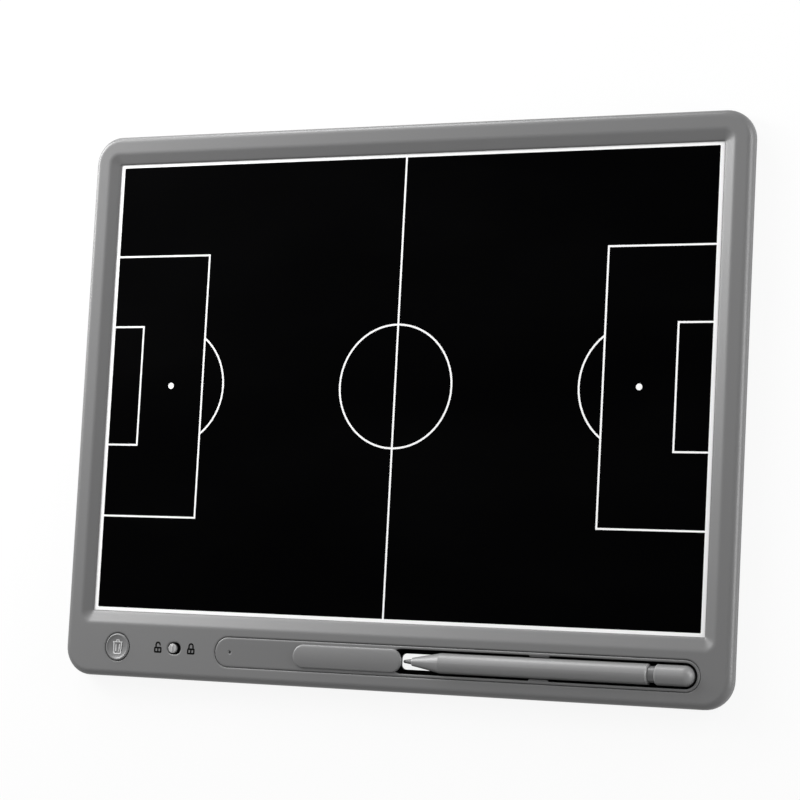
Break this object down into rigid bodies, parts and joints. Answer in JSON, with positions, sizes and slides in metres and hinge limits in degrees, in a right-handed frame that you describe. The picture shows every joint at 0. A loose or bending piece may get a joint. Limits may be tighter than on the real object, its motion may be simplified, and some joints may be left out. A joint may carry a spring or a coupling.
{
  "type": "tactics board",
  "caption": "Flat electronic football tactics board: moulded case with a recessed black writing panel marked as a pitch, an erase button, a lock slider and a pen lying in its tray.",
  "frame": {"origin": "on the surface under the four feet, below the middle of the outline", "axes": "+X to the right along the long side, +Y up the board from the control row to the top edge, +Z out of the writing face"},
  "size_m": [0.3404, 0.2636, 0.0122],
  "materials": {
    "case_grey": "neutral grey moulded plastic with a fine spark-eroded grain",
    "tray_grey": "neutral grey moulded plastic, a little smoother than the case",
    "control_grey": "neutral grey moulded plastic, handled smooth",
    "pen_grey": "light neutral grey plastic, satin",
    "pen_dark": "dark grey hard plastic",
    "panel_black": "black flexible film with a fine matt top coat",
    "print_white": "white screen print",
    "tape_black": "black double-sided foam tape",
    "backing_black": "stiff black sheet",
    "flex_amber": "amber film over copper tracks",
    "connector_ivory": "ivory socket moulding",
    "circuit_green": "green solder mask",
    "chip_black": "black moulding compound",
    "switch_black": "black switch housing",
    "switch_white": "white switch actuator",
    "cell_steel": "stainless can with a circular brushed face",
    "contact_steel": "nickel-plated spring strip",
    "screw_steel": "zinc-plated steel",
    "foot_rubber": "black rubber"
  },
  "bodies": {
    "case": {"front_bezel": "case_grey", "rear_cover": "case_grey", "pen_tray": "tray_grey", "tip_guard": "tray_grey", "writing_panel": "panel_black", "pitch_markings": "print_white", "panel_tape": "tape_black", "backing_board": "backing_black", "panel_flex": "flex_amber", "flex_connector": "connector_ivory", "circuit_board": "circuit_green", "controller_chip": "chip_black", "erase_switch": "switch_black", "lock_switch": "switch_black", "coin_cell": "cell_steel", "contact_positive": "contact_steel", "contact_negative": "contact_steel", "board_screws": "screw_steel", "case_screws": "screw_steel", "foot_top_left": "foot_rubber", "foot_top_right": "foot_rubber", "foot_bottom_left": "foot_rubber", "foot_bottom_right": "foot_rubber"},
    "erase_button": {"erase_button": "control_grey", "erase_plunger": "switch_white"},
    "lock_slider": {"lock_slider": "control_grey", "lock_lever": "switch_white"},
    "pen": {"pen_barrel": "pen_grey", "pen_nib": "pen_dark", "pen_neck_ring": "pen_dark", "pen_end_cap": "pen_grey"},
    "battery_door": {"battery_door": "case_grey", "battery_door_screw": "screw_steel"}
  },
  "joints": [
    {"name": "erase_press", "type": "slide", "parent": "case", "child": "erase_button", "axis": [0, 0, -1], "range_m": [0, 0.0005], "stiffness_N_per_m": 1500},
    {"name": "lock_slide", "type": "slide", "parent": "case", "child": "lock_slider", "axis": [1, 0, 0], "range_m": [0, 0.0021]},
    {"name": "pen_lift", "type": "slide", "parent": "case", "child": "pen", "axis": [0, 0, 1], "range_m": [0, 0.03]},
    {"name": "battery_door_hinge", "type": "hinge", "parent": "case", "child": "battery_door", "pos_m": [-0.08925, -0.11653, 0.001], "axis": [0, 1, 0], "range_deg": [0, 70]}
  ]
}
